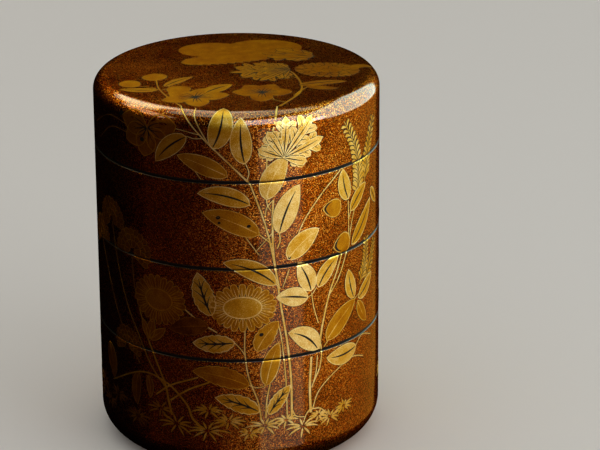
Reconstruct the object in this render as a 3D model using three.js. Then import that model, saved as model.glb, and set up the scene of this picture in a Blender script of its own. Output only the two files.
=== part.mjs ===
// A round tiered incense box of lacquered wood: three trays stacked under a deep lid.
// Each tray has a thin collar standing inside its rim. The piece above has a skirt that
// comes down round that collar and rests on the rim, so the outside is flush and every
// joint shows only as a fine groove between two rounded edges.
// Millimetres, +Z up, origin at the centre of the underside.
import * as THREE from "three";

// Outside of the stack.
const outerRadius = 32;
const lowerTierHeight = 27.8; // table to the first groove
const middleTierHeight = 21.5;
const upperTierHeight = 19.9;
const lidHeight = 15.9; // last groove to the crown of the lid
const shoulderRadius = 3.4; // rounding between the lid's side and its top
const crownRise = 0.5; // the lid's top is very slightly domed
const footRadius = 6.8; // rounding between the lowest tray's side and its underside

// Walls, floors and the lid's top.
const wallThickness = 2.4;
const floorThickness = 2;
const lidTopThickness = 2.6;
const insideFillet = 1.6; // the least rounding where a floor or ceiling meets the wall

// The joint between two pieces.
const skirtThickness = 1.2;
const collarHeight = 3;
const collarSideClearance = 0.15;
const collarEndClearance = 0.2;
const edgeRounding = 0.4; // on both outer edges that meet at a groove
const collarChamfer = 0.3; // lead-in on the collar's outer top edge

// The hollow under the lowest tray, which leaves a ring to stand on.
const standingRingWidth = 4;
const undersideHollowDepth = 0.8;

// How finely round surfaces are faceted.
const facetsRound = 60;
const facetsLargeArc = 7;
const facetsSmallArc = 3;
const facetsCrown = 3;

const insideRadius = outerRadius - wallThickness;
const skirtInsideRadius = outerRadius - skirtThickness;
const collarOutsideRadius = skirtInsideRadius - collarSideClearance;
const skirtDepth = collarHeight + collarEndClearance;
const quarterTurn = Math.PI / 2;

const point = (radius, height) => new THREE.Vector2(radius, height);

// Points of an arc about a centre, both ends included.
function arc(centre, radius, fromAngle, toAngle, facets) {
  const points = [];
  for (let i = 0; i <= facets; i++) {
    const angle = fromAngle + ((toAngle - fromAngle) * i) / facets;
    points.push(point(centre.x + radius * Math.cos(angle), centre.y + radius * Math.sin(angle)));
  }
  return points;
}

// The inside follows an outside rounding at wall thickness, and is never sharper than a fillet.
const insideRounding = (outsideRounding) =>
  Math.max(insideFillet, outsideRounding - wallThickness);

// A skirt seen from inside: down to the joint, across its foot and round its outer edge.
function skirt(jointHeight) {
  const edgeCentre = point(outerRadius - edgeRounding, jointHeight + edgeRounding);
  return [
    point(skirtInsideRadius, jointHeight),
    ...arc(edgeCentre, edgeRounding, -quarterTurn, 0, facetsSmallArc),
  ];
}

// A tray's rounded rim and the collar that stands inside it, ending at the inside wall.
function rimAndCollar(rimHeight) {
  const edgeCentre = point(outerRadius - edgeRounding, rimHeight - edgeRounding);
  const collarTop = rimHeight + collarHeight;
  return [
    ...arc(edgeCentre, edgeRounding, 0, quarterTurn, facetsSmallArc),
    point(collarOutsideRadius, rimHeight),
    point(collarOutsideRadius, collarTop - collarChamfer),
    point(collarOutsideRadius - collarChamfer, collarTop),
    point(insideRadius, collarTop),
  ];
}

// The inside of a tray, from its wall down to the middle of its floor.
function trayInside(floorTop, rounding) {
  const cornerCentre = point(insideRadius - rounding, floorTop + rounding);
  return [
    ...arc(cornerCentre, rounding, 0, -quarterTurn, facetsSmallArc),
    point(0, floorTop),
  ];
}

// A tray whose underside is hollowed to take the collar of the tray below.
function stackedTrayProfile(bottom, height) {
  const floorUnderside = bottom + skirtDepth;
  return [
    point(0, floorUnderside),
    point(skirtInsideRadius, floorUnderside),
    ...skirt(bottom),
    ...rimAndCollar(bottom + height),
    ...trayInside(floorUnderside + floorThickness, insideFillet),
  ];
}

// The lowest tray: a standing ring, a well rounded foot, then wall and collar as above.
function lowerTrayProfile(height) {
  const ringOutside = outerRadius - footRadius;
  const ringInside = ringOutside - standingRingWidth;
  return [
    point(0, undersideHollowDepth),
    point(ringInside - undersideHollowDepth, undersideHollowDepth),
    point(ringInside, 0),
    ...arc(point(ringOutside, footRadius), footRadius, -quarterTurn, 0, facetsLargeArc),
    ...rimAndCollar(height),
    ...trayInside(undersideHollowDepth + floorThickness, insideRounding(footRadius)),
  ];
}

// The crown of the lid: a shallow dome over the flat between its shoulders.
function crown(edgeRadius, edgeHeight) {
  const domeRadius = (edgeRadius ** 2 + crownRise ** 2) / (2 * crownRise);
  const domeCentre = point(0, edgeHeight + crownRise - domeRadius);
  const edgeAngle = Math.acos(edgeRadius / domeRadius);
  const dome = arc(domeCentre, domeRadius, edgeAngle, quarterTurn, facetsCrown);
  return [...dome.slice(1, -1), point(0, edgeHeight + crownRise)];
}

// The lid: hollow below, with a skirt, a straight side, a rounded shoulder and the crown.
function lidProfile(bottom) {
  const shoulderTop = bottom + lidHeight - crownRise;
  const shoulderCentre = point(outerRadius - shoulderRadius, shoulderTop - shoulderRadius);
  const ceiling = bottom + lidHeight - lidTopThickness;
  const rounding = insideRounding(shoulderRadius);
  return [
    point(0, ceiling),
    ...arc(point(insideRadius - rounding, ceiling - rounding), rounding, quarterTurn, 0, facetsSmallArc),
    point(insideRadius, bottom + skirtDepth),
    point(skirtInsideRadius, bottom + skirtDepth),
    ...skirt(bottom),
    ...arc(shoulderCentre, shoulderRadius, 0, quarterTurn, facetsLargeArc),
    ...crown(outerRadius - shoulderRadius, shoulderTop),
  ];
}

const lacquer = () =>
  new THREE.MeshStandardMaterial({ color: 0x9a5a1c, roughness: 0.3, metalness: 0.5 });

// A profile turned about the upright axis, as one closed solid.
function turnedPiece(name, profile) {
  const geometry = new THREE.LatheGeometry(profile, facetsRound);
  geometry.rotateX(quarterTurn);
  const mesh = new THREE.Mesh(geometry, lacquer());
  mesh.name = name;
  return mesh;
}

const middleTierBottom = lowerTierHeight;
const upperTierBottom = middleTierBottom + middleTierHeight;
const lidBottom = upperTierBottom + upperTierHeight;

const box = new THREE.Group();
box.name = "tiered_incense_box";
box.add(turnedPiece("lower_tier", lowerTrayProfile(lowerTierHeight)));
box.add(turnedPiece("middle_tier", stackedTrayProfile(middleTierBottom, middleTierHeight)));
box.add(turnedPiece("upper_tier", stackedTrayProfile(upperTierBottom, upperTierHeight)));
box.add(turnedPiece("lid", lidProfile(lidBottom)));

export default box;
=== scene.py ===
import math
import random

import bmesh
import bpy
from mathutils import Matrix, Vector


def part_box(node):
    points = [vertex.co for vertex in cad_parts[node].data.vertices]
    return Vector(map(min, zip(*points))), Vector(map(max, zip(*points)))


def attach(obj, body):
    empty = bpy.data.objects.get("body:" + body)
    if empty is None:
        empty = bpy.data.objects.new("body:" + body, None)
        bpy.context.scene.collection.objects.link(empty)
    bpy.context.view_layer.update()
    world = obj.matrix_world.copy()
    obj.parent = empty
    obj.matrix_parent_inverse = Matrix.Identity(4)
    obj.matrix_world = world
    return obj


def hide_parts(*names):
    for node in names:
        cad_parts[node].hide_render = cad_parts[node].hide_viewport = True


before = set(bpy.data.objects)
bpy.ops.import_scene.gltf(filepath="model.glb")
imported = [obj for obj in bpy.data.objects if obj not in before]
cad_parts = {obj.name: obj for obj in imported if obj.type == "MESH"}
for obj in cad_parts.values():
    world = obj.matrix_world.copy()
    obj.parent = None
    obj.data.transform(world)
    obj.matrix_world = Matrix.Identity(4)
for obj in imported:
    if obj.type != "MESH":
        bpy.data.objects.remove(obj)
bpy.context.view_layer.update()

# Camera. It stands a little over 600 mm in front of the plant picture and looks down on the
# box through a long lens. Sizes here and below are millimetres.
MM = 0.001
view_distance = 635.3
view_down = math.radians(20.61)
view_roll = math.radians(-0.308)
view_aim = Vector((13.99, 0, 47.7))  # the box stands a little left of the frame's middle
view_lens = 168
frame_width = 36

camera = bpy.data.objects.new("camera", bpy.data.cameras.new("camera"))
camera.data.lens = view_lens
camera.data.sensor_width = frame_width
camera.data.clip_start = 0.05
stand = view_aim + view_distance * Vector((0, -math.cos(view_down), math.sin(view_down)))
look = Matrix.Rotation(math.pi / 2 - view_down, 4, "X") @ Matrix.Rotation(view_roll, 4, "Z")
camera.matrix_world = Matrix.Translation(stand * MM) @ look
bpy.context.scene.collection.objects.link(camera)
bpy.context.scene.camera = camera


# Lowest tray. A turned wooden cup with a well rounded foot and a thin collar inside its rim.
# Its outside is red-brown lacquer sprinkled with gold flakes, under clear lacquer polished
# until it is as smooth as glass.
outer_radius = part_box("lid")[1][0] / MM
middle_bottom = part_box("middle_tier")[0][2] / MM

relief = 0.12  # the gold picture stands at most this far above the lacquer
side_radius = outer_radius - relief
wall_thickness = 2.4
floor_thickness = 2.0
skirt_thickness = 1.2
collar_height = 3.0
collar_clearance = 0.15
collar_rounding = 0.3
edge_rounding = 0.4
foot_radius = 6.8
ring_width = 4.0
underside_hollow = 0.8
# The black part of each rim's rounding lies in a groove: painted shade of the groove.
rim_gold_until = 27  # degrees of the rim's rounding that are gold; the rest is black
turn_steps = 256
rim_gold_steps, rim_black_steps = 3, 7
collar_steps, fillet_steps, foot_steps = 6, 12, 28
weld = 1e-3  # points closer than this are one point
crease = math.radians(35)  # edges sharper than this are not smoothed over

inside_radius = outer_radius - wall_thickness
skirt_radius = outer_radius - skirt_thickness
collar_radius = skirt_radius - collar_clearance


def arc(centre, radius, start, end, steps):
    """Points of an arc in the turning plane, both ends included; angles in degrees."""
    angles = [math.radians(start + (end - start) * i / steps) for i in range(steps + 1)]
    return [(centre[0] + radius * math.cos(a), centre[1] + radius * math.sin(a)) for a in angles]


carrier = bpy.data.meshes.new("carrier")  # takes finished parts over into their whole


def gather(part, finish, whole):
    """Gives every face of a part one finish and moves the part into the whole."""
    for face in part.faces:
        face.material_index = finish
    part.to_mesh(carrier)
    part.free()
    whole.from_mesh(carrier)


def turned(zones):
    """A closed shell spun about the upright axis from (finish, profile points) zones."""
    shell = bmesh.new()
    for finish, profile in zones:
        band = bmesh.new()
        points = [band.verts.new((r, 0, z)) for r, z in profile]
        edges = [band.edges.new(pair) for pair in zip(points, points[1:])]
        bmesh.ops.spin(
            band, geom=points + edges, axis=(0, 0, 1), cent=(0, 0, 0),
            angle=math.tau, steps=turn_steps, use_merge=True,
        )
        gather(band, finish, shell)
    bmesh.ops.remove_doubles(shell, verts=shell.verts, dist=weld)
    bmesh.ops.recalc_face_normals(shell, faces=shell.faces)
    return shell


def finished(name, body, materials):
    """The piece as an object in metres, smooth except at its creases."""
    bmesh.ops.scale(body, vec=(MM, MM, MM), verts=body.verts)
    for face in body.faces:
        face.smooth = True
    for edge in body.edges:
        edge.smooth = edge.calc_face_angle(math.pi) < crease
    mesh = bpy.data.meshes.new(name)
    body.to_mesh(mesh)
    body.free()
    for material in materials:
        mesh.materials.append(material)
    piece = bpy.data.objects.new(name, mesh)
    bpy.context.scene.collection.objects.link(piece)
    return piece


def rgb(code):
    """An sRGB hex colour as linear red, green, blue and alpha."""
    levels = [int(code[i:i + 2], 16) / 255 for i in (1, 3, 5)]
    return [c / 12.92 if c < 0.04045 else ((c + 0.055) / 1.055) ** 2.4 for c in levels] + [1]


def add(tree, kind, inputs=None, **settings):
    """A new node with its settings; each input is given a value or a link."""
    node = tree.nodes.new("ShaderNode" + kind)
    for name, value in settings.items():
        setattr(node, name, value)
    for name, value in (inputs or {}).items():
        if isinstance(value, bpy.types.NodeSocket):
            tree.links.new(value, node.inputs[name])
        else:
            node.inputs[name].default_value = value
    return node


def new_material(name):
    """An empty material and its node tree."""
    material = bpy.data.materials.new(name)
    material.use_nodes = True
    material.node_tree.nodes.clear()
    return material, material.node_tree


# Gold flakes of this grade are a tenth to a quarter of a millimetre across. They lie a little
# aslant, and closer together in some places than in others.
flake_size = 0.155
flake_tilt = 0.33
cloud_size = 9.0
thinly_strewn, thickly_strewn = 1.12, 0.9  # what the clouds take off the cover
lacquer_level, flake_level = 0.16, 0.24  # bare lacquer below the first, a flake above the second
flake_colours = (
    (0.00, "#080402"), (lacquer_level, "#120703"), (flake_level, "#481c04"), (0.42, "#7c3a06"),
    (0.60, "#9c560c"), (0.80, "#c8861e"), (0.93, "#f6d488"),
)


def sprinkled_lacquer(name, cover, gloss=1.0):
    """Nashiji: gold flakes, each at its own tilt, in red-brown lacquer under a clear gloss. The
    eye sees single sparks of gold below one smooth mirror. cover runs from 0, plain dark
    lacquer, to 1, flakes that almost touch; gloss is the strength of the mirror."""
    material, tree = new_material(name)
    place = add(tree, "TexCoord").outputs["Object"]
    flakes = add(tree, "TexVoronoi", {"Vector": place, "Scale": 1 / (flake_size * MM)})
    clouds = add(tree, "TexNoise", {"Vector": place, "Scale": 1 / (cloud_size * MM), "Detail": 3})
    own_level = add(tree, "SeparateColor", {"Color": flakes.outputs["Color"]}).outputs["Red"]
    drift = add(tree, "MapRange", {
        "Value": clouds.outputs["Fac"], "From Min": 0.3, "From Max": 0.7,
        "To Min": cover - thinly_strewn, "To Max": cover - thickly_strewn,
    }).outputs["Result"]
    level = add(tree, "Math", {0: own_level, 1: drift}, operation="ADD").outputs["Value"]
    ramp = add(tree, "ValToRGB", {"Fac": level})
    ramp.color_ramp.interpolation = "LINEAR"
    stops = ramp.color_ramp.elements
    for at, code in flake_colours[2:]:
        stops.new(at)
    for stop, (at, code) in zip(stops, flake_colours):
        stop.position = at
        stop.color = rgb(code)
    metal = add(tree, "MapRange", {
        "Value": level, "From Min": lacquer_level, "From Max": flake_level,
        "To Min": 0.0, "To Max": 1.0,
    }).outputs["Result"]
    upright = add(tree, "NewGeometry").outputs["Normal"]
    lean = add(tree, "VectorMath", {
        0: flakes.outputs["Color"], 1: (0.5, 0.5, 0.5),
    }, operation="SUBTRACT").outputs["Vector"]
    leaning = add(tree, "VectorMath", {
        0: lean, 1: (flake_tilt, flake_tilt, flake_tilt), 2: upright,
    }, operation="MULTIPLY_ADD").outputs["Vector"]
    facing = add(tree, "VectorMath", {0: leaning}, operation="NORMALIZE").outputs["Vector"]
    ripple = add(tree, "Bump", {
        "Height": flakes.outputs["Distance"], "Strength": 0.3, "Distance": 0.01 * MM,
    }).outputs["Normal"]
    surface = add(tree, "BsdfPrincipled", {
        "Base Color": ramp.outputs["Color"], "Metallic": metal, "Roughness": 0.35,
        "Normal": facing, "Specular Tint": rgb("#c98a4a"), "Coat Weight": gloss,
        "Coat Roughness": 0.07, "Coat IOR": 1.8, "Coat Tint": rgb("#f6cf96"),
        "Coat Normal": ripple,
    })
    add(tree, "OutputMaterial", {"Surface": surface.outputs["BSDF"]})
    return material


def plain_lacquer(name, code, roughness, gloss):
    """Unsprinkled lacquer: smooth and deep, with faint clouds from polishing. The eye sees it
    as nearly black."""
    material, tree = new_material(name)
    place = add(tree, "TexCoord").outputs["Object"]
    clouds = add(tree, "TexNoise", {"Vector": place, "Scale": 1 / (cloud_size * MM)})
    shade = add(tree, "Mix", {
        0: clouds.outputs["Fac"], 6: rgb(code), 7: rgb("#1c0d06"),
    }, data_type="RGBA").outputs[2]
    surface = add(tree, "BsdfPrincipled", {
        "Base Color": shade, "Roughness": roughness, "Specular IOR Level": 0.3,
        "Coat Weight": gloss, "Coat Roughness": 0.08,
    })
    add(tree, "OutputMaterial", {"Surface": surface.outputs["BSDF"]})
    return material


dense, black_groove_shade, rim_gold, sparse = range(4)
lacquers = [
    sprinkled_lacquer("dense nashiji lacquer", 1.0),
    # Black lacquer at each groove, laid wider than the groove as painted shade.
    plain_lacquer("black lacquer edge and painted groove shade", "#0a0503", 0.55, 0.4),
    sprinkled_lacquer("nashiji lacquer on the rims", 0.9, 0.25),
    sprinkled_lacquer("sparse nashiji lacquer inside", 0.72),
]


def rim_and_inside(rim, floor_top, rounding):
    """Zones from a tray's rounded rim over its collar and down to the middle of its floor."""
    top = rim + collar_height
    edge = (side_radius - edge_rounding, rim - edge_rounding)
    outer_top = (collar_radius - collar_rounding, top - collar_rounding)
    inner_top = (inside_radius + collar_rounding, top - collar_rounding)
    corner = (inside_radius - rounding, floor_top + rounding)
    # The rim's rounding turns black where it meets the groove: painted shade of the groove.
    groove_shade_rounding = arc(edge, edge_rounding, rim_gold_until, 90, rim_black_steps)
    return [
        (rim_gold, arc(edge, edge_rounding, 0, rim_gold_until, rim_gold_steps)),
        (black_groove_shade, groove_shade_rounding + [(collar_radius, rim)]),
        (sparse, [(collar_radius, rim)] + arc(outer_top, collar_rounding, 0, 90, collar_steps)),
        (sparse, [(outer_top[0], top)] + arc(inner_top, collar_rounding, 90, 180, collar_steps)),
        (sparse, [(inside_radius, inner_top[1])] + arc(corner, rounding, 0, -90, fillet_steps)),
        (sparse, [(corner[0], floor_top), (0, floor_top)]),
    ]


ring_outside = side_radius - foot_radius
ring_inside = outer_radius - foot_radius - ring_width
lower_floor = underside_hollow + floor_thickness
foot_arc = arc((ring_outside, foot_radius), foot_radius, -90, 0, foot_steps)
lower_zones = [
    (sparse, [(0, underside_hollow), (ring_inside - underside_hollow, underside_hollow)]),
    (sparse, [(ring_inside - underside_hollow, underside_hollow), (ring_inside, 0)]),
    (dense, [(ring_inside, 0)] + foot_arc),
    (dense, [(side_radius, foot_radius), (side_radius, middle_bottom - edge_rounding)]),
] + rim_and_inside(middle_bottom, lower_floor, foot_radius - wall_thickness)

lower_tray = finished("lower_tray", turned(lower_zones), lacquers)
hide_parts("lower_tier")
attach(lower_tray, "root")


# Middle and upper trays. Each is turned like the lowest, but flat below, and its skirt comes
# down round the collar of the tray under it, so the two sides meet in one fine groove. The
# foot of the skirt is black lacquer, laid wider than the groove as painted shade, which makes
# the groove read as a dark line.
upper_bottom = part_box("upper_tier")[0][2] / MM
lid_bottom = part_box("lid")[0][2] / MM
joint_end_clearance = 0.2
skirt_depth = collar_height + joint_end_clearance
# The black foot of a skirt is painted shade of the groove.
groove_shade_height = 0.62  # height of the black foot of a skirt
skirt_steps = 8
inside_fillet = 1.6


def skirt(bottom):
    """Zones from the inside of a skirt round its lower outer edge."""
    edge = (side_radius - edge_rounding, bottom + edge_rounding)
    return [
        (sparse, [(skirt_radius, bottom + skirt_depth), (skirt_radius, bottom)]),
        # Black round the skirt's lower edge: painted shade of the groove.
        (black_groove_shade, [(skirt_radius, bottom)] + arc(edge, edge_rounding, -90, 0, skirt_steps)),
        (black_groove_shade, [(side_radius, bottom + edge_rounding), (side_radius, bottom + groove_shade_height)]),
    ]


tray_heights = {
    "middle_tier": (middle_bottom, upper_bottom),
    "upper_tier": (upper_bottom, lid_bottom),
}
for node_name, (bottom, rim) in tray_heights.items():
    underside = bottom + skirt_depth
    zones = [(sparse, [(0, underside), (skirt_radius, underside)])] + skirt(bottom)
    zones += [(dense, [(side_radius, bottom + groove_shade_height), (side_radius, rim - edge_rounding)])]
    zones += rim_and_inside(rim, underside + floor_thickness, inside_fillet)
    tray = finished(node_name.replace("tier", "tray"), turned(zones), lacquers)
    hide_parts(node_name)
    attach(tray, "root")


# Lid. A deep cap with a straight side, a rounded shoulder and a very slightly domed top,
# turned and lacquered like the trays, with a skirt that drops over the top tray's collar.
lid_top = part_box("lid")[1][2] / MM
shoulder_radius = 3.4
crown_rise = 0.5
lid_thickness = 2.6
shoulder_steps, crown_steps = 24, 16

crown_edge = side_radius - shoulder_radius
shoulder_top = lid_top - relief - crown_rise
shoulder_start = shoulder_top - shoulder_radius
ceiling = lid_top - lid_thickness
lid_rounding = max(inside_fillet, shoulder_radius - wall_thickness)


def crown_height(radius):
    """Height of the lid's lacquered top at a distance from its centre."""
    return shoulder_top + crown_rise * (1 - (radius / crown_edge) ** 2)


ceiling_corner = (inside_radius - lid_rounding, ceiling - lid_rounding)
crown_line = [crown_edge * (1 - i / crown_steps) for i in range(crown_steps + 1)]
lid_zones = [
    (sparse, [(0, ceiling)] + arc(ceiling_corner, lid_rounding, 90, 0, fillet_steps)),
    (sparse, [(inside_radius, ceiling_corner[1]), (inside_radius, lid_bottom + skirt_depth)]),
    (sparse, [(inside_radius, lid_bottom + skirt_depth), (skirt_radius, lid_bottom + skirt_depth)]),
] + skirt(lid_bottom) + [
    (dense, [(side_radius, lid_bottom + groove_shade_height), (side_radius, shoulder_start)]),
    (dense, arc((crown_edge, shoulder_start), shoulder_radius, 0, 90, shoulder_steps)),
    (dense, [(r, crown_height(r)) for r in crown_line]),
]
lid_shell = finished("lid_shell", turned(lid_zones), lacquers)
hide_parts("lid")
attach(lid_shell, "root")


# Gold picture. Autumn plants in fine gold powder on lacquer, polished to a satin surface a
# tenth of a millimetre above the ground. Leaf veins are left open and show dark; wilted
# leaves are laid in redder gold with a raised outline in paler gold, whose paleness is partly
# a painted highlight.
# The dark finish serves open veins and lines, and a dark rim of painted shadow round the strokes.
gold, dark_and_shade = range(2)

# It is drawn flat: x runs round the side from the front, y up it, z out of the lacquer.
rim_lift, leaf_lift, line_lift = 0.026, 0.036, 0.05
stem_rim_lift, stem_lift = 0.014, 0.031
lift_spread = 0.003  # strokes differ this much, so that no two lie in one plane
level_lift = 0.017  # a leaf that lies over another
leaf_crown = 0.006
line_rise = 0.008  # a line drawn on a leaf stands this much above it
line_half = 0.1  # half the width of a fine gold line
least_half = 0.03  # no stroke is finer
outline_inset = 0.06  # a leaf's outline lies this far inside its edge
petal_tone, disc_tone = 0.52, 0.74  # shares of a daisy's own tone
groove_gap = 0.12  # the picture stops this far short of the middle of a groove
sink = 0.05  # the picture's underside lies this far inside the lacquer
stem_share = 0.7  # stems are drawn this much finer than the widths stated with them
chance = random.Random(11)


def new_chart():
    """An empty flat picture; tone is the colour of its gold, from 0, dull, to 1, pale, and in places it
    also paints light and shade.
    """
    chart = bmesh.new()
    chart.verts.layers.float.new("tone")
    return chart


def through(points):
    """A smooth path through given points, as a function from 0 to 1."""
    spots = [Vector(p) for p in points]
    spots = [2 * spots[0] - spots[1]] + spots + [2 * spots[-1] - spots[-2]]

    def at(s):
        reach = min(max(s, 0), 1) * (len(points) - 1)
        i = min(int(reach), len(points) - 2)
        f = reach - i
        a, b, c, d = spots[i:i + 4]
        return 0.5 * (2 * b + (c - a) * f + (2 * a - 5 * b + 4 * c - d) * f ** 2
                      + (3 * b - a - 3 * c + d) * f ** 3)
    return at


def bowed(base, tip, bend):
    """A path from base to tip that bows to its left by bend, a share of its length."""
    base, tip = Vector(base), Vector(tip)
    along = tip - base
    middle = (base + tip) / 2 + 2 * bend * Vector((-along.y, along.x))
    return lambda s: base * (1 - s) ** 2 + middle * 2 * s * (1 - s) + tip * s ** 2


def spot_and_left(path, s):
    """A point of a path and the direction to its left there."""
    along = path(min(s + 0.01, 1)) - path(max(s - 0.01, 0))
    return path(s), Vector((-along.y, along.x)).normalized()


def beside(path, offset, start=0.0, end=1.0):
    """A path that runs beside part of another, at the offset that a function gives."""
    def at(s):
        s = start + (end - start) * s
        spot, left = spot_and_left(path, s)
        return spot + left * offset(s)
    return at


def stroke(chart, path, half_width, lift, finish=gold, tone=0.8, steps=14, cells=1, crown=0.0):
    """Lays one stroke of the picture along a path."""
    strip = bmesh.new()
    tones = strip.verts.layers.float.new("tone")
    bmesh.ops.create_grid(strip, x_segments=steps, y_segments=cells, size=1)
    own_lift = lift + chance.uniform(0, lift_spread)
    ribs = {}
    for vert in strip.verts:
        step = round((vert.co.x + 1) / 2 * steps)
        if step not in ribs:
            s = step / steps
            ribs[step] = *spot_and_left(path, s), max(half_width(s), least_half)
        spot, left, half = ribs[step]
        across = vert.co.y
        spot = spot + left * half * across
        vert.co = (spot.x, spot.y, own_lift + crown * (1 - across ** 2))
        vert[tones] = tone
    gather(strip, finish, chart)


def swell(s, base_blunt=0.55, tip_blunt=0.8):
    """Half width of a leaf along its length, 1 at its widest."""
    s = min(max(s, 0.0), 1.0)
    peak = base_blunt / (base_blunt + tip_blunt)
    widest = peak ** base_blunt * (1 - peak) ** tip_blunt
    return s ** base_blunt * (1 - s) ** tip_blunt / widest


def leaf(chart, base, tip, width, bend=0.0, kind="open", tone=0.85, teeth=0, blunt=0.8,
         notch=0.16, level=0, root=0.62, rim=0.13, crown=leaf_crown):
    """One leaf: open has a dark open midrib, veined has side veins too, wilted has a bright
    midrib, petal has no midrib; these four have a bright outline. Flat has a dark midrib and
    plain has no line at all. A leaf's dark rim, painted shadow of its raised edge and partly the
    dark gap left by polishing, shows on the leaves of lower levels."""
    path = bowed(base, tip, bend)
    over = level * level_lift

    def half(s):
        depth = notch * ((s * teeth) % 1) if teeth else 0
        return width / 2 * swell(s, root, blunt) * (1 - depth)

    def line(path, half_width, finish, tone, steps=14):
        stroke(chart, path, half_width, leaf_lift + crown + line_rise + over, finish, tone, steps)

    cells = 4 if crown else 2
    steps = teeth * 5 if teeth else 16 if crown else 10
    # A dark rim round the leaf: painted shadow of its raised edge, partly the dark gap left by
    # polishing.
    stroke(chart, path, lambda s: half(s) + rim, rim_lift + over, dark_and_shade, 0, steps)
    stroke(chart, path, half, leaf_lift + over, gold, tone, steps, cells, crown)
    # Outlines are raised lines of gold, made paler partly as a painted highlight on their edge.
    bright = min(1.3 * tone + 0.14, 0.92)
    if kind in ("open", "veined", "wilted", "petal"):
        for side in (-1, 1):
            edge = beside(path, lambda s: side * (half(s) - outline_inset))
            line(edge, lambda s: line_half, gold, bright, steps)
    if kind == "wilted":
        line(beside(path, lambda s: 0, 0.05, 0.85), lambda s: line_half * (1.3 - s), gold, bright)
    if kind in ("open", "veined", "flat"):
        vein = min(0.05 + 0.036 * width, 0.22)
        line(beside(path, lambda s: 0, 0.04, 0.86),
             lambda s: vein * math.sin(math.pi * min(s * 0.8 + 0.15, 1)), dark_and_shade, 0)
    if kind == "veined":
        for i in range(3):
            for side in (-1, 1):
                start = 0.2 + 0.2 * i
                reach = 0.66 * half(start + 0.12)
                end = beside(path, lambda s: side * reach)(start + 0.22)
                line(bowed(path(start), end, -side * 0.06), lambda s: 0.12 * (1 - s) + 0.04,
                     dark_and_shade, 0, 6)


def oval(chart, centre, reach, lift=leaf_lift, finish=gold, tone=0.8, slant=0.0, crown=0.0,
         steps=20):
    """A filled oval, laid as one short wide stroke."""
    heading = Vector((math.cos(slant), math.sin(slant)))
    centre = Vector(centre)
    stroke(chart, lambda s: centre - heading * reach[0] * math.cos(math.pi * s),
           lambda s: reach[1] * math.sin(math.pi * s), lift, finish, tone, steps, 6, crown)


def stem(chart, points, width, end_width=None, tone=0.85):
    """A stem through points, from one width to another, with a fine dark rim of painted shadow."""
    path = through(points)
    length = sum((Vector(b) - Vector(a)).length for a, b in zip(points, points[1:]))
    end_width = width if end_width is None else end_width
    steps = max(4, math.ceil(length / 0.9))

    def half(s):
        return (width + (end_width - width) * s) * stem_share / 2
    # A dark rim round the stem: painted shadow of its raised edge.
    stroke(chart, path, lambda s: half(s) + 0.1, stem_rim_lift, dark_and_shade, 0, steps)
    stroke(chart, path, half, stem_lift, gold, tone, steps)


def daisy(chart, centre, reach, disc, petals, tone):
    """A daisy seen a little from the side: a plain disc and a ring of outlined petals."""
    centre = Vector(centre)
    for i in range(petals):
        angle = math.tau * (i + 0.5) / petals
        out = Vector((math.cos(angle), math.sin(angle)))
        inner = centre + Vector((out.x * disc[0], out.y * disc[1])) * 0.96
        outer = centre + Vector((out.x * reach[0], out.y * reach[1])) * chance.uniform(0.97, 1.03)
        room = math.pi * (reach[0] + reach[1]) / petals * 0.86
        path = bowed(inner, outer, chance.uniform(-0.04, 0.04))
        leaf(chart, inner, outer, room, 0, "petal", tone * petal_tone, blunt=0.32, root=0.5)
        stroke(chart, beside(path, lambda s: 0, 0.1, 0.72), lambda s: 0.09 * (1 - 0.6 * s), line_lift,
               gold, tone, 4)
    oval(chart, centre, disc, leaf_lift + 0.01, gold, tone * disc_tone, 0.0, 0.02, 28)
    for half_turn in (0, math.pi):
        def ring(s):
            angle = half_turn + math.pi * s
            return centre + Vector((disc[0] * math.cos(angle), disc[1] * math.sin(angle)))
        stroke(chart, ring, lambda s: 1.4 * line_half, line_lift + 0.02, gold, tone, 24)


def lobed_leaf(chart, base, tips, width, tone, kind="open"):
    """A leaf of deep lobes that fan out from its base, each with two pairs of fingers."""
    base = Vector(base)
    for i, tip in enumerate(tips):
        level = 2.4 * (i % 2)
        along = Vector(tip) - base
        across = Vector((-along.y, along.x))
        for start in (0.22, 0.48):
            for lean in (-1, 1):
                finger = base + along * (start + 0.36) + across * 0.25 * lean
                leaf(chart, base + along * start, finger, width * 0.62, -0.16 * lean, kind, tone,
                     blunt=0.42, level=level, root=0.8, rim=0.17, crown=0)
            level += 0.8
        leaf(chart, base, tip, width * 0.66, 0, kind, tone, blunt=0.42, level=level, root=1.0,
             rim=0.17, crown=0)


def spray(chart, points, size, tone=0.85):
    """A feathery spray: drop-shaped leaflets in pairs up a thin stalk, bowed to its tip."""
    path = through(points)
    stem(chart, points, 0.4, 0.25, tone)
    length = sum((Vector(b) - Vector(a)).length for a, b in zip(points, points[1:]))
    pairs = round(length / (0.46 * size))
    for i in range(pairs):
        s = 0.1 + 0.88 * i / pairs
        grow = size * (1 - 0.45 * s)
        spot, left = spot_and_left(path, s)
        along = Vector((left.y, -left.x))
        for side in (-1, 1):
            foot = spot + left * side * 0.25
            tip = foot + (along * 0.62 + left * side * 0.72) * grow
            bow = bowed(foot, tip, -side * 0.16)
            over = 2 * level_lift * (i % 2)
            # A dark rim round each leaflet: painted shadow of its raised edge.
            stroke(chart, bow, lambda t: 0.16 + grow * 0.19 * swell(t, 0.9, 0.35),
                   rim_lift + over, dark_and_shade, 0, 6)
            stroke(chart, bow, lambda t: grow * 0.19 * swell(t, 0.9, 0.35),
                   leaf_lift + over, gold, tone, 6, 2)


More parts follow.
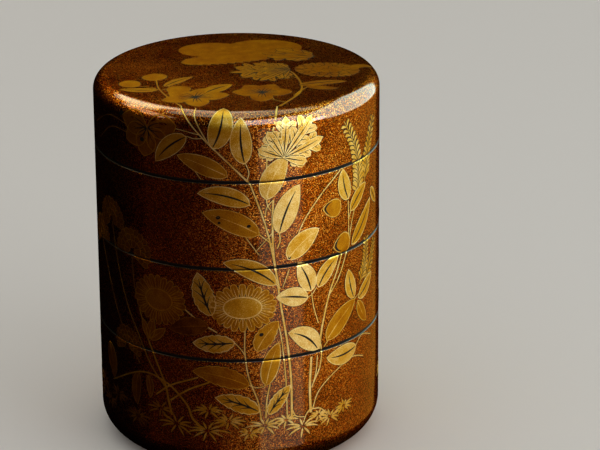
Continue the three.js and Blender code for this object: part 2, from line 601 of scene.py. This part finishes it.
def bud(chart, base, tip, width, tone=0.5):
    """A round pointed bud with a bright outline and a dark crescent inside its tip."""
    leaf(chart, base, tip, width, 0, "petal", tone, blunt=0.85, root=0.5)
    path = bowed(base, tip, 0)
    inside = [beside(path, lambda s: share * width)(s)
              for share, s in ((0.36, 0.55), (0.22, 0.76), (0.0, 0.86), (-0.22, 0.76), (-0.36, 0.55))]
    stroke(chart, through(inside), lambda s: 0.06 * width * math.sin(math.pi * s), line_lift,
           dark_and_shade, 0, 16)


def bellflower(chart, centre, reach, headings, tone, kind="petal"):
    """An open bellflower: five broad pointed petals with dark lines out of its throat."""
    centre = Vector(centre)
    for degrees in headings:
        angle = math.radians(degrees)
        out = Vector((reach[0] * math.cos(angle), reach[1] * math.sin(angle)))
        leaf(chart, centre, centre + out, 0.84 * reach[1], 0, kind, tone, blunt=0.85, root=0.8)
        for lean in (-0.28, 0.0, 0.28):
            line = centre + out * 0.5 + Vector((-out.y, out.x)) * lean * 0.5
            stroke(chart, bowed(centre, line, lean * 0.2), lambda s: 0.15 - 0.11 * s, line_lift,
                   dark_and_shade, 0, 5)


def fan_flower(chart, centre, reach, start, end, petals, tone, kind="petal"):
    """A many-petalled flower seen from the side: three rows of short petals in a fan."""
    centre = Vector(centre)
    for row, (share, count) in enumerate(((1.0, petals), (0.74, petals - 3), (0.48, petals - 6))):
        for i in range(count):
            angle = math.radians(start + (end - start) * i / (count - 1))
            out = Vector((reach[0] * math.cos(angle), reach[1] * math.sin(angle))) * share
            leaf(chart, centre + out * 0.3, centre + out, 0.32 * reach[1], 0, kind, tone,
                 blunt=0.3, level=1.6 * row + 0.8 * (i % 2), rim=0.18, crown=0)


def tuft(chart, centre, size, tone=0.8):
    """A ground plant: a star of narrow blades, flattened and drooping a little to both sides."""
    centre = Vector(centre)
    blades = chance.randint(9, 11)
    first = chance.uniform(0, 1)
    for i in range(blades):
        angle = math.tau * (i + first + chance.uniform(-0.22, 0.22)) / blades
        reach = size * chance.uniform(0.75, 1.1)
        tip = centre + Vector((math.cos(angle), 0.55 * math.sin(angle) - 0.06)) * reach
        bow = bowed(centre + (tip - centre) * 0.16, tip, 0.09 * math.cos(angle))
        # A dark rim round each blade: painted shadow of its raised edge.
        stroke(chart, bow, lambda s: 0.08 + 0.25 * swell(s, 0.6, 0.8), stem_rim_lift, dark_and_shade, 0, 6)
        stroke(chart, bow, lambda s: 0.25 * swell(s, 0.6, 0.8), rim_lift, gold, tone, 7, 2, 0.01)


def leafy_plant(chart, foot, tip, leaves, size, tone):
    """A plainer plant: a bowed stem with a leaf to each side in turn and one at its tip."""
    foot, tip = Vector(foot), Vector(tip)
    bow = bowed(foot, tip, chance.uniform(-0.06, 0.06))
    stem(chart, [bow(s) for s in (0, 0.35, 0.7, 1)], 0.7, 0.45, tone)
    for i in range(leaves):
        s = 0.24 + 0.7 * i / leaves
        side = 1 if i % 2 else -1
        spot, left = spot_and_left(bow, s)
        along = Vector((left.y, -left.x))
        reach = size * (1 - 0.25 * s) * chance.uniform(0.9, 1.1)
        end = spot + (along * 0.55 + left * side * 0.8) * reach
        kind = "wilted" if i % 4 == 2 else "open"
        leaf(chart, spot + left * side * 0.4, end, 0.44 * reach, side * 0.06, kind,
             tone - (0.3 if kind == "wilted" else 0))
    leaf(chart, tip, tip + (tip - foot).normalized() * size, 0.42 * size, 0.03, "open", tone)


side_chart = new_chart()

# Stems of the tall plants on the front: points round and up the side, and the width at the
# first and the last of them.
for points, width, end_width in (
    (((12.3, 13.0), (12.2, 22.0), (11.4, 31.0), (10.0, 40.0), (8.6, 50.0), (6.6, 59.5), (3.4, 69.0)),
     0.75, 0.5),
    (((11.2, 13.2), (11.0, 22.0), (10.2, 31.0), (9.3, 36.5)), 0.45, 0.35),
    (((9.6, 44.0), (8.4, 52.0), (8.2, 60.0), (8.4, 65.0)), 0.7, 0.6),
    (((3.4, 69.0), (-1.0, 73.6), (-6.5, 79.0), (-11.5, 84.5), (-13.6, 87.4)), 0.6, 0.4),
    (((-5.6, 78.2), (-7.2, 81.0), (-8.8, 84.0), (-9.4, 87.0)), 0.45, 0.35),
    (((2.6, 69.6), (3.2, 71.6), (2.4, 73.8)), 0.4, 0.3),
    (((8.4, 65.0), (7.0, 63.5), (6.6, 61.5)), 0.35, 0.35),
    (((6.9, 65.4), (7.1, 64.0), (7.9, 62.6)), 0.4, 0.35),
    (((7.0, 71.8), (7.2, 76.2)), 0.5, 0.45),
    (((8.0, 79.2), (9.6, 84.2), (11.0, 87.5)), 0.6, 0.6),
    (((9.7, 57.4), (9.9, 55.6), (9.2, 53.8)), 0.4, 0.4),
    (((5.1, 57.5), (8.4, 54.6)), 0.4, 0.35),
    (((2.2, 57.0), (5.2, 52.6)), 0.3, 0.25),
    (((8.0, 57.4), (4.4, 53.4)), 0.3, 0.25),
    (((8.9, 45.5), (9.9, 44.4)), 0.35, 0.3),
    (((11.9, 48.6), (10.4, 44.6)), 0.35, 0.25),
    (((25.4, 68.8), (20.0, 64.6), (15.6, 59.4), (13.2, 54.2)), 0.45, 0.35),
    (((17.0, 13.6), (16.8, 20.0), (17.2, 27.0)), 0.95, 0.75),
    (((17.3, 19.6), (18.4, 23.0), (18.8, 27.0)), 0.45, 0.4),
    (((17.8, 20.8), (19.4, 24.0), (19.9, 27.5), (19.4, 31.0)), 0.5, 0.5),
    (((19.2, 28.4), (20.2, 34.0), (22.2, 41.0), (24.6, 46.0), (26.6, 51.0)), 0.75, 0.5),
    (((21.9, 40.4), (24.6, 43.4), (26.8, 47.6), (28.2, 52.0), (28.1, 61.0)), 0.5, 0.4),
    (((19.1, 34.6), (17.9, 38.5), (17.3, 42.2)), 0.4, 0.35),
    (((16.3, 41.3), (17.5, 41.8), (18.6, 43.2)), 0.35, 0.3),
    (((28.3, 57.0), (29.2, 58.6)), 0.35, 0.3),
    (((28.4, 51.2), (29.8, 57.0), (33.6, 64.0), (36.4, 70.0)), 0.4, 0.3),
    (((20.6, 28.6), (26.6, 35.0), (31.2, 37.4), (35.4, 38.8)), 0.45, 0.35),
    (((17.4, 14.2), (19.2, 18.4), (24.0, 21.8), (29.6, 23.4), (34.4, 22.0)), 0.45, 0.35),
    (((30.8, 25.6), (33.8, 27.4), (38.4, 25.8)), 0.4, 0.3),
    (((5.3, 13.4), (4.6, 18.0), (2.6, 24.0), (1.8, 30.0), (1.9, 35.2)), 0.55, 0.45),
    (((2.6, 22.1), (4.6, 21.4), (6.4, 21.9)), 0.35, 0.3),
    (((6.3, 14.0), (6.6, 18.5), (7.3, 22.0)), 0.6, 0.5),
    (((-0.4, 32.3), (1.2, 30.4), (2.0, 28.6)), 0.4, 0.3),
    (((-12.2, 40.0), (-8.0, 36.8), (-4.2, 34.6)), 0.55, 0.5),
    (((12.4, 15.2), (13.3, 13.5), (15.4, 12.9)), 0.5, 0.3),
    (((17.1, 14.6), (15.9, 13.5), (15.1, 11.6)), 0.6, 0.3),
    (((17.3, 14.4), (19.6, 14.0), (21.6, 11.9)), 0.5, 0.3),
    (((-12.4, 74.8), (-9.5, 72.8), (-7.2, 69.9)), 0.35, 0.3),
    (((-10.2, 79.4), (-8.6, 79.0), (-6.6, 79.2)), 0.35, 0.3),
    (((-14.0, 81.0), (-10.0, 80.4), (-7.0, 79.8)), 0.35, 0.3),
):
    stem(side_chart, points, width, end_width)

# Stems of the flowers at the left, in a redder gold.
for points, width, end_width, tone in (
    (((-8.6, 12.0), (-10.3, 13.8), (-11.7, 17.0), (-16.4, 21.1), (-23.6, 22.0), (-34.9, 16.4)),
     0.9, 0.5, 0.62),
    (((-15.2, 13.6), (-16.0, 17.0), (-16.8, 20.7), (-19.3, 26.3), (-21.4, 31.0), (-23.6, 37.0)),
     0.9, 0.5, 0.62),
    (((-16.6, 20.0), (-20.5, 24.3), (-24.2, 31.0), (-27.6, 37.0), (-31.0, 46.0), (-33.0, 55.0)),
     0.7, 0.4, 0.5),
    (((-15.5, 17.1), (-11.0, 20.4), (-5.9, 22.8)), 0.7, 0.55, 0.66),
    (((-19.3, 17.7), (-15.1, 20.9), (-8.7, 23.6)), 0.65, 0.55, 0.66),
    (((-22.6, 34.0), (-25.0, 42.0), (-25.6, 49.0)), 0.5, 0.4, 0.42),
    (((-24.0, 24.0), (-31.0, 33.0), (-37.0, 45.0), (-39.6, 50.0)), 0.5, 0.4, 0.42),
    (((-26.0, 79.4), (-33.0, 79.8), (-41.0, 76.0)), 0.35, 0.3, 0.42),
    (((-26.0, 77.6), (-32.0, 77.4), (-38.0, 73.4)), 0.35, 0.3, 0.42),
):
    stem(side_chart, points, width, end_width, tone)

# Leaves with an open midrib: foot, tip, width and bow. Their gold is painted palest where the
# light falls, in the middle of the front, and redder towards both sides as painted shade.
painted_light_middle, painted_shade_by, painted_shade_over = 14, 0.24, 20
for base, tip, width, bend in (
    ((2.3, 73.6), (1.7, 83.9), 4.7, 0.05),
    ((-4.7, 77.0), (-2.6, 87.6), 5.2, -0.09),
    ((-10.3, 79.3), (-17.9, 72.7), 4.2, -0.07),
    ((3.3, 64.3), (-8.1, 66.7), 4.2, -0.08),
    ((9.7, 57.2), (14.4, 67.8), 5.3, 0.05),
    ((8.9, 45.4), (-2.7, 51.0), 4.3, -0.09),
    ((28.1, 61.4), (26.2, 68.8), 3.9, 0.06),
    ((28.9, 58.4), (35.2, 63.2), 3.4, 0.05),
    ((29.3, 50.4), (37.6, 58.8), 3.7, -0.04),
    ((38.0, 61.0), (41.4, 56.6), 2.2, 0.0),
    ((17.2, 42.6), (14.0, 49.8), 4.4, -0.06),
    ((19.1, 43.1), (24.8, 49.1), 3.8, 0.08),
    ((16.4, 41.2), (8.9, 42.4), 4.4, -0.04),
    ((18.9, 28.4), (11.6, 33.7), 4.9, -0.12),
    ((30.2, 37.5), (28.2, 44.8), 3.6, 0.05),
    ((32.0, 36.9), (38.6, 40.9), 3.5, -0.05),
    ((31.0, 25.7), (21.3, 25.7), 4.6, 0.07),
):
    # Painted light and shade: the tone falls away from the lit middle of the front.
    painted_shade = painted_shade_by * min(abs(tip[0] - painted_light_middle) / painted_shade_over, 1)
    leaf(side_chart, base, tip, width, bend, "open", chance.uniform(0.86, 0.96) - painted_shade, level=1)

# Toothed leaves of the daisies, with dark side veins.
for base, tip, width, bend in (
    ((-5.4, 38.6), (-8.4, 48.4), 5.2, 0.04),
    ((-0.4, 32.3), (-9.8, 31.8), 4.5, 0.02),
    ((4.9, 15.6), (-4.9, 19.1), 4.3, -0.05),
    ((7.0, 14.8), (12.0, 21.2), 3.4, 0.03),
):
    leaf(side_chart, base, tip, width, bend, "veined", chance.uniform(0.66, 0.76), 6)

# Wilted leaves: foot, tip, width, bow, colour and teeth.
for base, tip, width, bend, tone, teeth in (
    ((6.9, 65.2), (11.7, 74.6), 5.2, 0.08, 0.78, 0),
    ((-1.4, 70.8), (-12.6, 74.9), 4.2, -0.03, 0.5, 0),
    ((5.3, 57.3), (-7.1, 62.4), 4.9, -0.05, 0.5, 0),
    ((11.6, 51.0), (19.3, 56.8), 4.8, 0.06, 0.74, 0),
    ((4.4, 30.2), (9.4, 36.8), 4.5, 0.05, 0.5, 6),
    ((6.4, 21.8), (9.4, 31.8), 4.0, 0.03, 0.55, 0),
    ((21.3, 29.9), (30.7, 37.0), 4.9, 0.05, 0.5, 0),
    ((31.8, 36.2), (35.7, 30.2), 2.9, -0.04, 0.5, 0),
    ((2.6, 22.0), (-10.0, 25.0), 5.0, -0.06, 0.4, 7),
    ((-6.2, 36.0), (-15.4, 34.3), 4.6, -0.04, 0.16, 6),
    ((-21.0, 30.8), (-19.6, 35.8), 2.4, 0.0, 0.34, 0),
    ((-20.6, 30.6), (-16.4, 34.0), 2.2, 0.0, 0.34, 0),
    ((-20.9, 30.7), (-22.8, 35.2), 1.8, 0.0, 0.34, 0),
    ((-24.4, 21.6), (-25.0, 13.6), 3.0, -0.08, 0.24, 0),
    ((-21.5, 21.8), (-21.0, 16.4), 2.0, 0.05, 0.3, 0),
    ((-36.6, 25.0), (-34.2, 17.0), 4.4, 0.05, 0.25, 0),
):
    leaf(side_chart, base, tip, width, bend, "wilted", tone, teeth)

daisy(side_chart, (1.45, 40.5), (7.4, 5.6), (4.2, 2.5), 22, 0.92)
daisy(side_chart, (-18.1, 40.6), (6.8, 5.8), (3.5, 2.5), 22, 0.6)
bud(side_chart, (25.7, 60.1), (20.3, 61.1), 4.2)
bud(side_chart, (28.6, 51.9), (23.3, 51.3), 4.8)
lobed_leaf(side_chart, (10.8, 74.4), (
    (5.2, 76.8), (7.2, 80.6), (11.6, 83.6), (17.8, 83.0), (20.4, 77.6), (16.2, 72.8),
), 3.0, 0.82)
spray(side_chart, ((31.4, 60.0), (31.8, 66.0), (30.4, 73.0), (26.7, 79.6)), 3.0, 0.78)
spray(side_chart, ((34.6, 63.0), (36.0, 70.0), (39.4, 77.6)), 2.8, 0.74)
spray(side_chart, ((32.6, 40.0), (35.0, 44.6), (35.6, 50.5)), 2.3, 0.74)
spray(side_chart, ((34.6, 40.0), (38.4, 44.0), (40.4, 48.4)), 2.2, 0.7)
bellflower(side_chart, (-20.0, 79.8), (7.6, 6.6), (14, 168, 214, 262, 312), 0.32)
for centre, reach, heading in (
    ((-33.4, 55.6), (5.4, 5.0), 100), ((-25.4, 50.4), (5.6, 5.2), 75),
    ((-39.4, 50.2), (4.6, 4.4), 105), ((-28.0, 27.4), (4.8, 4.4), 90),
):
    fan_flower(side_chart, centre, reach, heading - 110, heading + 110, 13, 0.24)

# Dark withered spots.
for centre, reach in (
    ((-3.6, 61.4), (0.5, 0.4)), ((-3.4, 60.2), (0.35, 0.3)), ((3.0, 59.4), (0.45, 0.35)),
    ((5.5, 34.0), (0.5, 0.4)), ((12.0, 51.3), (0.35, 0.3)), ((-21.5, 77.0), (0.6, 0.5)),
    ((-28.0, 81.5), (0.8, 0.5)),
):
    oval(side_chart, centre, reach, line_lift, dark_and_shade, 0, 0.3, 0, 8)

# The far side, which the photo doesn't show: the same plants, fewer and plainer.
for foot, tip, leaves in (
    (52, (54, 57), 6), (61, (58, 75), 8), (70, (75, 52), 6), (81, (78, 70), 8), (93, (96, 58), 6),
    (-55, (-56, 42), 5), (-63, (-61, 73), 8), (-71, (-75, 55), 6), (-84, (-81, 68), 7),
):
    leafy_plant(side_chart, (foot, 12.5), tip, leaves, 7.6, chance.uniform(0.72, 0.88))
daisy(side_chart, (64.5, 38.0), (6.8, 5.4), (3.9, 2.5), 22, 0.85)
daisy(side_chart, (87.5, 34.0), (6.2, 5.2), (3.6, 2.4), 22, 0.8)
daisy(side_chart, (-64.5, 36.0), (6.6, 5.4), (3.7, 2.5), 22, 0.8)
daisy(side_chart, (-92.0, 44.0), (6.0, 5.2), (3.4, 2.4), 22, 0.75)

# Ground plants, first those on the front: middle, size and colour; the colour darkens towards the left
# as painted shade.
for centre, size, tone in (
    ((-25.0, 10.8), 4.4, 0.36), ((-18.2, 14.5), 4.4, 0.52), ((-14.0, 11.7), 4.9, 0.64),
    ((-6.4, 15.9), 3.8, 0.66), ((-6.8, 11.0), 4.9, 0.7), ((-2.0, 13.5), 3.9, 0.72),
    ((2.6, 10.6), 3.4, 0.75), ((6.1, 12.2), 4.2, 0.85), ((11.0, 13.0), 3.4, 0.85),
    ((15.0, 10.7), 4.3, 0.85), ((19.0, 12.6), 3.2, 0.8), ((22.2, 11.3), 3.8, 0.78),
    ((26.6, 12.6), 3.3, 0.74),
):
    tuft(side_chart, centre, size, tone)

# The others stand in two loose rows round the far side.
turn_round = round(math.tau * outer_radius)
front_ground = range(-29, 44)
for i, x in enumerate(range(-turn_round // 2, turn_round // 2, 4)):
    if x in front_ground:
        continue
    row = 13.4 if i % 2 else 10.4
    # Painted shade: the ground plants on the left flank are darker.
    tone = 0.3 if -52 < x < 0 else 0.8
    tuft(side_chart, (x + chance.uniform(-1, 1), row + chance.uniform(-0.6, 0.6)),
         chance.uniform(3.4, 4.8), tone)

# The picture on the lid's top, in plan: x to the right and y to the back. Two plants lean in
# over the shoulder from the front, and big soft blossoms lie at the back.
top_chart = new_chart()
for points, width, end_width in (
    (((9.8, -25.6), (11.6, -22.4), (14.2, -16.5), (14.3, -10.0), (12.0, -2.0), (7.0, 4.0)), 0.85, 0.5),
    (((12.9, -19.0), (14.2, -15.6), (16.4, -12.2)), 0.55, 0.4),
    (((11.4, -23.2), (8.8, -21.8), (7.9, -18.6)), 0.4, 0.3),
    (((14.2, -8.6), (12.8, -6.2), (11.0, -6.6)), 0.35, 0.3),
    (((-11.4, -25.3), (-14.6, -19.0), (-16.6, -13.5), (-17.4, -8.0)), 0.6, 0.45),
    (((-15.8, -15.4), (-18.4, -12.6), (-21.2, -11.6)), 0.35, 0.3),
    (((-16.0, -14.8), (-14.6, -13.6), (-14.4, -12.2)), 0.3, 0.3),
):
    stem(top_chart, points, width, end_width, 0.5)
for centre, reach in (((-6.0, 14.6), (7.4, 5.8)), ((6.2, 16.6), (8.4, 6.2)), ((0.5, 11.0), (8.0, 5.4))):
    oval(top_chart, centre, reach, leaf_lift, gold, 0.4, 0.0, 0.015, 32)
leaf(top_chart, (8.4, 8.6), (-12.4, 4.4), 8.4, -0.04, "plain", 0.4, 11, 0.5, 0.24)
lobed_leaf(top_chart, (17.4, 9.2), (
    (5.6, 11.4), (8.6, 14.6), (13.4, 14.0), (6.8, 8.2), (11.8, 6.4),
), 3.4, 0.42, "plain")
fan_flower(top_chart, (20.2, -0.6), (7.4, 5.4), 0, 345, 24, 0.38, "plain")
oval(top_chart, (20.2, -0.6), (1.5, 1.1), line_lift + 0.04, gold, 0.3)
leaf(top_chart, (24.6, 1.2), (30.2, 3.6), 2.6, 0.04, "plain", 0.44)
lobed_leaf(top_chart, (12.0, -0.6), (
    (9.6, -7.8), (5.4, -9.2), (1.2, -7.0), (-1.4, -3.4), (-0.6, 0.8), (3.6, 3.4), (8.6, 3.6),
), 2.6, 0.48, "flat")
bellflower(top_chart, (6.0, -17.0), (6.6, 6.0), (8, 66, 128, 176, 268), 0.38, "plain")
leaf(top_chart, (14.0, -12.0), (24.4, -8.6), 3.2, 0.05, "flat", 0.38)
leaf(top_chart, (15.4, -12.6), (22.6, -13.4), 2.4, -0.05, "plain", 0.36)
leaf(top_chart, (-17.6, -8.2), (-18.2, -3.0), 5.6, 0, "plain", 0.46, blunt=0.6)
leaf(top_chart, (-21.0, -11.8), (-24.6, -7.8), 4.6, 0.04, "plain", 0.46, blunt=0.5)
leaf(top_chart, (-16.6, -14.4), (-25.2, -13.2), 2.8, 0.06, "flat", 0.5)
leaf(top_chart, (-15.4, -12.4), (-9.4, -5.8), 2.7, 0.06, "flat", 0.5)
leaf(top_chart, (-12.6, -17.4), (-12.0, -12.0), 5.4, 0, "plain", 0.44, blunt=0.45)
leaf(top_chart, (-6.4, -17.2), (-0.6, -11.6), 4.2, 0.06, "flat", 0.54)
bellflower(top_chart, (-8.4, -19.8), (7.6, 6.2), (14, 70, 142, 196, 278), 0.46, "plain")


def on_side(point):
    """Where a point of the flat side picture lies on the box: up to the shoulder, over it,
    and in over the top; at a groove it follows the rounded edges."""
    x, up, out = point
    angle = x / outer_radius
    seam = min((middle_bottom, upper_bottom, lid_bottom), key=lambda z: abs(z - up))
    past = max(0.0, edge_rounding - abs(up - seam))
    pull = edge_rounding - math.sqrt(edge_rounding ** 2 - past ** 2)
    bend = min(max((up - shoulder_start) / shoulder_radius, 0.0), math.pi / 2)
    radius = crown_edge + (shoulder_radius + out - pull) * math.cos(bend)
    height = min(up, shoulder_start) + (shoulder_radius + out) * math.sin(bend)
    inward = max(0.0, up - shoulder_start - shoulder_radius * math.pi / 2)
    if inward > 0:
        radius = crown_edge - inward
        height = crown_height(radius) + out
    return Vector((radius * math.sin(angle), -radius * math.cos(angle), height))


def on_top(point):
    """Where a point of the flat top picture lies on the lid's crown, or on its shoulder."""
    x, y, out = point
    radius = math.hypot(x, y)
    past = (radius - crown_edge) / shoulder_radius
    if past <= 0:
        return Vector((x, y, crown_height(radius) + out))
    bend = math.asin(min(past, 1))
    spread = (crown_edge + (shoulder_radius + out) * math.sin(bend)) / radius
    height = shoulder_start + (shoulder_radius + out) * math.cos(bend)
    return Vector((x * spread, y * spread, height))


powder_grain = 0.16  # real gold powder is several times finer and wouldn't show
powder_clouds = 2.5
powder_colours = ((0.0, "#5c2805"), (0.35, "#a6690e"), (0.7, "#d6a428"), (1.0, "#fae8ac"))


def gold_powder():
    """Fine gold powder under thin lacquer. The eye sees a satin metal with a faint grain and
    soft clouds, from dull red-brown gold at tone 0 to pale yellow gold at tone 1."""
    material, tree = new_material("gold powder picture")
    place = add(tree, "TexCoord").outputs["Object"]
    tone = add(tree, "Attribute", attribute_name="tone").outputs["Fac"]
    grain = add(tree, "TexNoise", {"Vector": place, "Scale": 1 / (powder_grain * MM), "Detail": 2})
    clouds = add(tree, "TexNoise", {"Vector": place, "Scale": 1 / (powder_clouds * MM), "Detail": 3})
    mottle = add(tree, "MapRange", {
        "Value": clouds.outputs["Fac"], "From Min": 0.3, "From Max": 0.7,
        "To Min": -0.11, "To Max": 0.07,
    }).outputs["Result"]
    speck = add(tree, "MapRange", {
        "Value": grain.outputs["Fac"], "From Min": 0.3, "From Max": 0.7,
        "To Min": -0.15, "To Max": 0.15,
    }).outputs["Result"]
    shade = add(tree, "Math", {0: tone, 1: mottle}, operation="ADD").outputs["Value"]
    shade = add(tree, "Math", {0: shade, 1: speck}, operation="ADD").outputs["Value"]
    ramp = add(tree, "ValToRGB", {"Fac": shade})
    stops = ramp.color_ramp.elements
    for at, code in powder_colours[1:-1]:
        stops.new(at)
    for stop, (at, code) in zip(stops, powder_colours):
        stop.position = at
        stop.color = rgb(code)
    bump = add(tree, "Bump", {"Height": grain.outputs["Fac"], "Strength": 0.5, "Distance": 0.03 * MM})
    surface = add(tree, "BsdfPrincipled", {
        "Base Color": ramp.outputs["Color"], "Metallic": 0.95, "Roughness": 0.46,
        "Normal": bump.outputs["Normal"], "Specular Tint": rgb("#c98a4a"), "Coat Weight": 0.2,
        "Coat Roughness": 0.3,
    })
    add(tree, "OutputMaterial", {"Surface": surface.outputs["BSDF"]})
    return material


# The dark lacquer shows in open veins and lines, and as painted shadow round the strokes.
picture_finishes = [gold_powder(), plain_lacquer("dark lacquer of open veins and painted edge shadow", "#0c0603", 0.5, 0.1)]


def picture_piece(name, chart, place, low=None, high=None):
    """Cuts the flat picture at two heights, gives it its thickness and lays it on the box."""
    relief_mesh = chart.copy()
    for cut, outward in ((low, -1), (high, 1)):
        if cut is None:
            continue
        # The first two cuts let the picture bend round the edge of the groove.
        insets = ((edge_rounding, False), (edge_rounding / 2, False), (groove_gap, True))
        for inset, clear in insets:
            geometry = relief_mesh.verts[:] + relief_mesh.edges[:] + relief_mesh.faces[:]
            bmesh.ops.bisect_plane(
                relief_mesh, geom=geometry, dist=1e-5, plane_co=(0, cut - outward * inset, 0),
                plane_no=(0, outward, 0), clear_outer=clear,
            )
    for vert in [v for v in relief_mesh.verts if not v.link_faces]:
        relief_mesh.verts.remove(vert)
    raised = bmesh.ops.extrude_face_region(relief_mesh, geom=relief_mesh.faces[:])
    top = {item for item in raised["geom"] if isinstance(item, bmesh.types.BMVert)}
    for vert in relief_mesh.verts:
        if vert not in top:
            vert.co.z = -sink
    for vert in relief_mesh.verts:
        vert.co = place(vert.co)
    bmesh.ops.recalc_face_normals(relief_mesh, faces=relief_mesh.faces)
    piece = finished(name, relief_mesh, picture_finishes)
    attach(piece, "root")


picture_piece("lower_tray_picture", side_chart, on_side, None, middle_bottom)
picture_piece("middle_tray_picture", side_chart, on_side, middle_bottom, upper_bottom)
picture_piece("upper_tray_picture", side_chart, on_side, upper_bottom, lid_bottom)
picture_piece("lid_side_picture", side_chart, on_side, lid_bottom, None)
picture_piece("lid_top_picture", top_chart, on_top)


# Floor and light. A pale matt table under an even sky. The lacquer mirrors soft panels in the
# ceiling, windows at the front and both sides, and the warm glow of a table top, for which
# dim lights stand below the floor. One window lights matt surfaces too; the rest don't.
floor_reach = 2500
floor_sheet = bmesh.new()
bmesh.ops.create_grid(floor_sheet, x_segments=1, y_segments=1, size=floor_reach)

# Matt painted board: an even pale grey that mirrors nothing.
floor_material, floor_tree = new_material("pale matt table")
floor_surface = add(floor_tree, "BsdfPrincipled", {
    "Base Color": rgb("#d8d4cd"), "Roughness": 0.7, "Specular IOR Level": 0.1,
})
add(floor_tree, "OutputMaterial", {"Surface": floor_surface.outputs["BSDF"]})
floor = finished("floor", floor_sheet, [floor_material])

# The lacquer doesn't mirror it, and the lights below it shine through it.
floor.visible_glossy = False
floor.visible_shadow = False

# Each light faces the middle of the box: place, size, roll in degrees, watts, colour and
# whether it lights matt surfaces.
box_middle = Vector((0, 0, 45))
for name, place, size, roll, watts, colour, lights_matt in (
    ("left_ceiling_panel", (-475, 504, 800), (720, 340), 9, 1.7, "#f2fac8", False),
    ("middle_ceiling_panel", (15, 175, 1064), (984, 861), 57, 3.1, "#e8fbe6", False),
    ("back_ceiling_panel", (-360, 760, 900), (900, 500), 0, 1.9, "#fbf8dc", False),
    ("front_window", (420, -680, 680), (890, 611), 0, 4.6, "#e8f4ff", False),
    ("left_window", (-740, -20, 680), (800, 300), 0, 1.5, "#ffe2b4", False),
    ("window_light", (560, -430, 130), (480, 220), 0, 2.0, "#eef6ff", True),
    ("right_window", (652, 212, 322), (1156, 854), 0, 9.2, "#d2f6ee", False),
    ("middle_table_glow", (40, -700, -220), (420, 420), 0, 0.11, "#ffa44c", False),
    ("front_table_glow", (400, -570, -220), (440, 420), 0, 0.31, "#ffe8c4", False),
    ("right_table_glow", (690, 100, -230), (1700, 420), 0, 0.96, "#ffb846", False),
    ("left_table_glow", (-500, -500, -220), (900, 420), 0, 0.07, "#ff8a3e", False),
):
    light = bpy.data.objects.new(name, bpy.data.lights.new(name, "AREA"))
    light.data.shape = "RECTANGLE"
    light.data.size, light.data.size_y = size[0] * MM, size[1] * MM
    light.data.energy = watts
    light.data.color = rgb(colour)[:3]
    facing = (box_middle - Vector(place)).to_track_quat("-Z", "Y").to_matrix().to_4x4()
    rolled = facing @ Matrix.Rotation(math.radians(roll), 4, "Z")
    light.matrix_world = Matrix.Translation(Vector(place) * MM) @ rolled
    light.visible_camera = False
    light.visible_diffuse = lights_matt
    bpy.context.scene.collection.objects.link(light)

# The sky is even and grey, and no gloss mirrors it.
world = bpy.data.worlds.new("studio")
bpy.context.scene.world = world
world.use_nodes = True
sky = world.node_tree.nodes["Background"].inputs
sky["Color"].default_value = rgb("#dcdcdc")
sky["Strength"].default_value = 0.85
world.cycles_visibility.glossy = False
bpy.context.scene.view_settings.view_transform = "Standard"
bpy.context.scene.view_settings.look = "Medium High Contrast"
